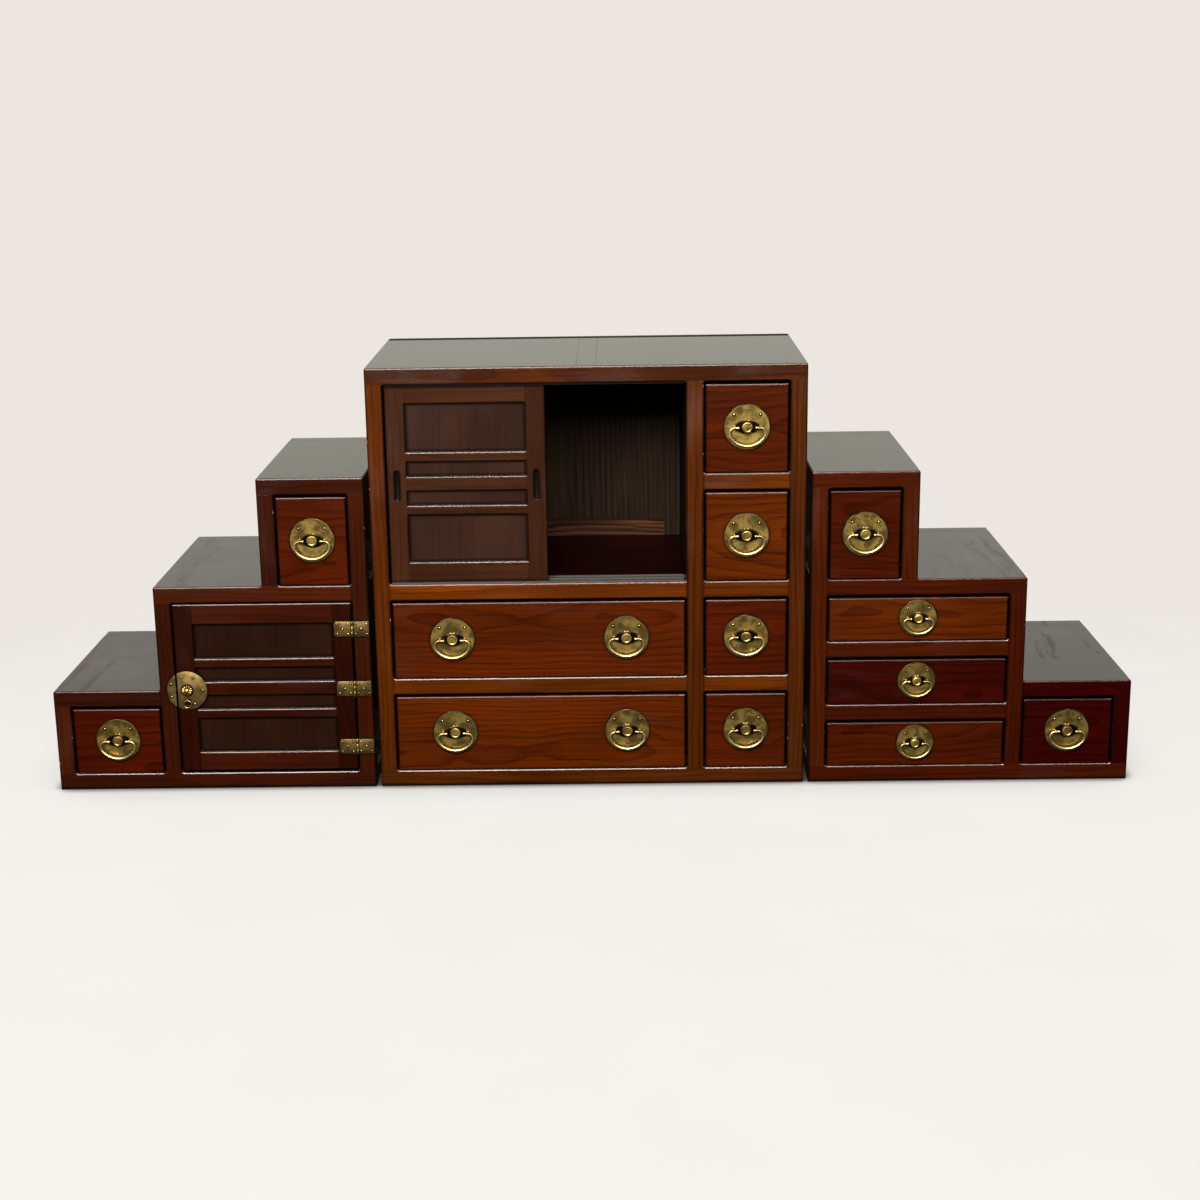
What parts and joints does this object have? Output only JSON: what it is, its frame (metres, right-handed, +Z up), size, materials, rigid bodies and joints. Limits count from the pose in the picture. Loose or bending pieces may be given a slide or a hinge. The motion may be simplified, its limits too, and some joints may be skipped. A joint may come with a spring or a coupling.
{
  "type": "step chest",
  "caption": "Lacquered step chest in a tall centre cabinet and stepped side cabinets, with drawers on brass bail handles, sliding doors and a hinged door.",
  "frame": {"origin": "on the floor under the middle of the centre cabinet", "axes": "+X to the viewer's right along the front, +Y from the front to the back, +Z up"},
  "size_m": [2.276, 0.4636, 0.9],
  "materials": {
    "frame_lacquer": "polished red-brown lacquer",
    "board_lacquer": "polished dark lacquer",
    "drawer_lacquer": "polished mahogany-red lacquer over figured wood",
    "door_lacquer": "polished dark lacquer",
    "inside_wood": "thin stain on plain wood",
    "antique_brass": "aged brass, brown in the hollows"
  },
  "bodies": {
    "centre_cabinet": {"centre_frame": "frame_lacquer", "centre_boards": "board_lacquer", "centre_runners": "inside_wood", "centre_door_tracks": "inside_wood"},
    "left_cabinet": {"left_frame": "frame_lacquer", "left_boards": "board_lacquer", "left_runners": "inside_wood", "frame_hinge_brass": "antique_brass"},
    "right_cabinet": {"right_frame": "frame_lacquer", "right_boards": "board_lacquer", "right_runners": "inside_wood"},
    "drawer_wide_lower": {"drawer_wide_lower": "drawer_lacquer", "handle_plate_wide_lower": "antique_brass"},
    "bail_wide_lower_left": {"bail_wide_lower_left": "antique_brass"},
    "bail_wide_lower_right": {"bail_wide_lower_right": "antique_brass"},
    "drawer_wide_upper": {"drawer_wide_upper": "drawer_lacquer", "handle_plate_wide_upper": "antique_brass"},
    "bail_wide_upper_left": {"bail_wide_upper_left": "antique_brass"},
    "bail_wide_upper_right": {"bail_wide_upper_right": "antique_brass"},
    "drawer_narrow_bottom": {"drawer_narrow_bottom": "drawer_lacquer", "handle_plate_narrow_bottom": "antique_brass"},
    "bail_narrow_bottom": {"bail_narrow_bottom": "antique_brass"},
    "drawer_narrow_lower": {"drawer_narrow_lower": "drawer_lacquer", "handle_plate_narrow_lower": "antique_brass"},
    "bail_narrow_lower": {"bail_narrow_lower": "antique_brass"},
    "drawer_narrow_upper": {"drawer_narrow_upper": "drawer_lacquer", "handle_plate_narrow_upper": "antique_brass"},
    "bail_narrow_upper": {"bail_narrow_upper": "antique_brass"},
    "drawer_narrow_top": {"drawer_narrow_top": "drawer_lacquer", "handle_plate_narrow_top": "antique_brass"},
    "bail_narrow_top": {"bail_narrow_top": "antique_brass"},
    "drawer_left_upper": {"drawer_left_upper": "drawer_lacquer", "handle_plate_left_upper": "antique_brass"},
    "bail_left_upper": {"bail_left_upper": "antique_brass"},
    "drawer_left_step": {"drawer_left_step": "drawer_lacquer", "handle_plate_left_step": "antique_brass"},
    "bail_left_step": {"bail_left_step": "antique_brass"},
    "drawer_right_upper": {"drawer_right_upper": "drawer_lacquer", "handle_plate_right_upper": "antique_brass"},
    "bail_right_upper": {"bail_right_upper": "antique_brass"},
    "drawer_right_wide_bottom": {"drawer_right_wide_bottom": "drawer_lacquer", "handle_plate_right_wide_bottom": "antique_brass"},
    "bail_right_wide_bottom": {"bail_right_wide_bottom": "antique_brass"},
    "drawer_right_wide_middle": {"drawer_right_wide_middle": "drawer_lacquer", "handle_plate_right_wide_middle": "antique_brass"},
    "bail_right_wide_middle": {"bail_right_wide_middle": "antique_brass"},
    "drawer_right_wide_top": {"drawer_right_wide_top": "drawer_lacquer", "handle_plate_right_wide_top": "antique_brass"},
    "bail_right_wide_top": {"bail_right_wide_top": "antique_brass"},
    "drawer_right_step": {"drawer_right_step": "drawer_lacquer", "handle_plate_right_step": "antique_brass"},
    "bail_right_step": {"bail_right_step": "antique_brass"},
    "sliding_door_front": {"sliding_door_front": "door_lacquer", "finger_pulls_front": "antique_brass"},
    "sliding_door_rear": {"sliding_door_rear": "door_lacquer", "finger_pulls_rear": "antique_brass"},
    "hinged_door": {"hinged_door": "door_lacquer", "hinged_door_brass": "antique_brass"},
    "lock_ring": {"lock_ring": "antique_brass"}
  },
  "joints": [
    {"name": "left_cabinet_slide", "type": "slide", "parent": "centre_cabinet", "child": "left_cabinet", "axis": [-1, 0, 0], "range_m": [0, 0.25]},
    {"name": "right_cabinet_slide", "type": "slide", "parent": "centre_cabinet", "child": "right_cabinet", "axis": [1, 0, 0], "range_m": [0, 0.25]},
    {"name": "drawer_wide_lower_slide", "type": "slide", "parent": "centre_cabinet", "child": "drawer_wide_lower", "axis": [0, -1, 0], "range_m": [0, 0.3]},
    {"name": "bail_wide_lower_left_swing", "type": "hinge", "parent": "drawer_wide_lower", "child": "bail_wide_lower_left", "pos_m": [-0.2885, -0.2336, 0.12], "axis": [-1, 0, 0], "range_deg": [0, 150]},
    {"name": "bail_wide_lower_right_swing", "type": "hinge", "parent": "drawer_wide_lower", "child": "bail_wide_lower_right", "pos_m": [0.0765, -0.2336, 0.12], "axis": [-1, 0, 0], "range_deg": [0, 150]},
    {"name": "drawer_wide_upper_slide", "type": "slide", "parent": "centre_cabinet", "child": "drawer_wide_upper", "axis": [0, -1, 0], "range_m": [0, 0.3]},
    {"name": "bail_wide_upper_left_swing", "type": "hinge", "parent": "drawer_wide_upper", "child": "bail_wide_upper_left", "pos_m": [-0.2885, -0.2336, 0.3255], "axis": [-1, 0, 0], "range_deg": [0, 150]},
    {"name": "bail_wide_upper_right_swing", "type": "hinge", "parent": "drawer_wide_upper", "child": "bail_wide_upper_right", "pos_m": [0.0765, -0.2336, 0.3255], "axis": [-1, 0, 0], "range_deg": [0, 150]},
    {"name": "drawer_narrow_bottom_slide", "type": "slide", "parent": "centre_cabinet", "child": "drawer_narrow_bottom", "axis": [0, -1, 0], "range_m": [0, 0.3]},
    {"name": "bail_narrow_bottom_swing", "type": "hinge", "parent": "drawer_narrow_bottom", "child": "bail_narrow_bottom", "pos_m": [0.327, -0.2336, 0.12], "axis": [-1, 0, 0], "range_deg": [0, 150]},
    {"name": "drawer_narrow_lower_slide", "type": "slide", "parent": "centre_cabinet", "child": "drawer_narrow_lower", "axis": [0, -1, 0], "range_m": [0, 0.3]},
    {"name": "bail_narrow_lower_swing", "type": "hinge", "parent": "drawer_narrow_lower", "child": "bail_narrow_lower", "pos_m": [0.327, -0.2336, 0.3255], "axis": [-1, 0, 0], "range_deg": [0, 150]},
    {"name": "drawer_narrow_upper_slide", "type": "slide", "parent": "centre_cabinet", "child": "drawer_narrow_upper", "axis": [0, -1, 0], "range_m": [0, 0.3]},
    {"name": "bail_narrow_upper_swing", "type": "hinge", "parent": "drawer_narrow_upper", "child": "bail_narrow_upper", "pos_m": [0.327, -0.2336, 0.543], "axis": [-1, 0, 0], "range_deg": [0, 150]},
    {"name": "drawer_narrow_top_slide", "type": "slide", "parent": "centre_cabinet", "child": "drawer_narrow_top", "axis": [0, -1, 0], "range_m": [0, 0.3]},
    {"name": "bail_narrow_top_swing", "type": "hinge", "parent": "drawer_narrow_top", "child": "bail_narrow_top", "pos_m": [0.327, -0.2336, 0.77], "axis": [-1, 0, 0], "range_deg": [0, 150]},
    {"name": "drawer_left_upper_slide", "type": "slide", "parent": "left_cabinet", "child": "drawer_left_upper", "axis": [0, -1, 0], "range_m": [0, 0.3]},
    {"name": "bail_left_upper_swing", "type": "hinge", "parent": "drawer_left_upper", "child": "bail_left_upper", "pos_m": [-0.572, -0.2336, 0.543], "axis": [-1, 0, 0], "range_deg": [0, 150]},
    {"name": "drawer_left_step_slide", "type": "slide", "parent": "left_cabinet", "child": "drawer_left_step", "axis": [0, -1, 0], "range_m": [0, 0.3]},
    {"name": "bail_left_step_swing", "type": "hinge", "parent": "drawer_left_step", "child": "bail_left_step", "pos_m": [-1.007, -0.2336, 0.11], "axis": [-1, 0, 0], "range_deg": [0, 150]},
    {"name": "drawer_right_upper_slide", "type": "slide", "parent": "right_cabinet", "child": "drawer_right_upper", "axis": [0, -1, 0], "range_m": [0, 0.3]},
    {"name": "bail_right_upper_swing", "type": "hinge", "parent": "drawer_right_upper", "child": "bail_right_upper", "pos_m": [0.572, -0.2336, 0.543], "axis": [-1, 0, 0], "range_deg": [0, 150]},
    {"name": "drawer_right_wide_bottom_slide", "type": "slide", "parent": "right_cabinet", "child": "drawer_right_wide_bottom", "axis": [0, -1, 0], "range_m": [0, 0.3]},
    {"name": "bail_right_wide_bottom_swing", "type": "hinge", "parent": "drawer_right_wide_bottom", "child": "bail_right_wide_bottom", "pos_m": [0.686, -0.23226, 0.086], "axis": [-1, 0, 0], "range_deg": [0, 150]},
    {"name": "drawer_right_wide_middle_slide", "type": "slide", "parent": "right_cabinet", "child": "drawer_right_wide_middle", "axis": [0, -1, 0], "range_m": [0, 0.3]},
    {"name": "bail_right_wide_middle_swing", "type": "hinge", "parent": "drawer_right_wide_middle", "child": "bail_right_wide_middle", "pos_m": [0.686, -0.23226, 0.224], "axis": [-1, 0, 0], "range_deg": [0, 150]},
    {"name": "drawer_right_wide_top_slide", "type": "slide", "parent": "right_cabinet", "child": "drawer_right_wide_top", "axis": [0, -1, 0], "range_m": [0, 0.3]},
    {"name": "bail_right_wide_top_swing", "type": "hinge", "parent": "drawer_right_wide_top", "child": "bail_right_wide_top", "pos_m": [0.686, -0.23226, 0.361], "axis": [-1, 0, 0], "range_deg": [0, 150]},
    {"name": "drawer_right_step_slide", "type": "slide", "parent": "right_cabinet", "child": "drawer_right_step", "axis": [0, -1, 0], "range_m": [0, 0.3]},
    {"name": "bail_right_step_swing", "type": "hinge", "parent": "drawer_right_step", "child": "bail_right_step", "pos_m": [1.007, -0.2336, 0.11], "axis": [-1, 0, 0], "range_deg": [0, 150]},
    {"name": "sliding_door_front_slide", "type": "slide", "parent": "centre_cabinet", "child": "sliding_door_front", "axis": [1, 0, 0], "range_m": [0, 0.285]},
    {"name": "sliding_door_rear_slide", "type": "slide", "parent": "centre_cabinet", "child": "sliding_door_rear", "axis": [1, 0, 0], "range_m": [0, 0.285]},
    {"name": "hinged_door_swing", "type": "hinge", "parent": "left_cabinet", "child": "hinged_door", "pos_m": [-0.4975, -0.2276, 0.225], "axis": [0, 0, 1], "range_deg": [0, 115]},
    {"name": "lock_ring_swing", "type": "hinge", "parent": "hinged_door", "child": "lock_ring", "pos_m": [-0.8525, -0.2311, 0.1995], "axis": [-1, 0, 0], "range_deg": [0, 100]}
  ]
}
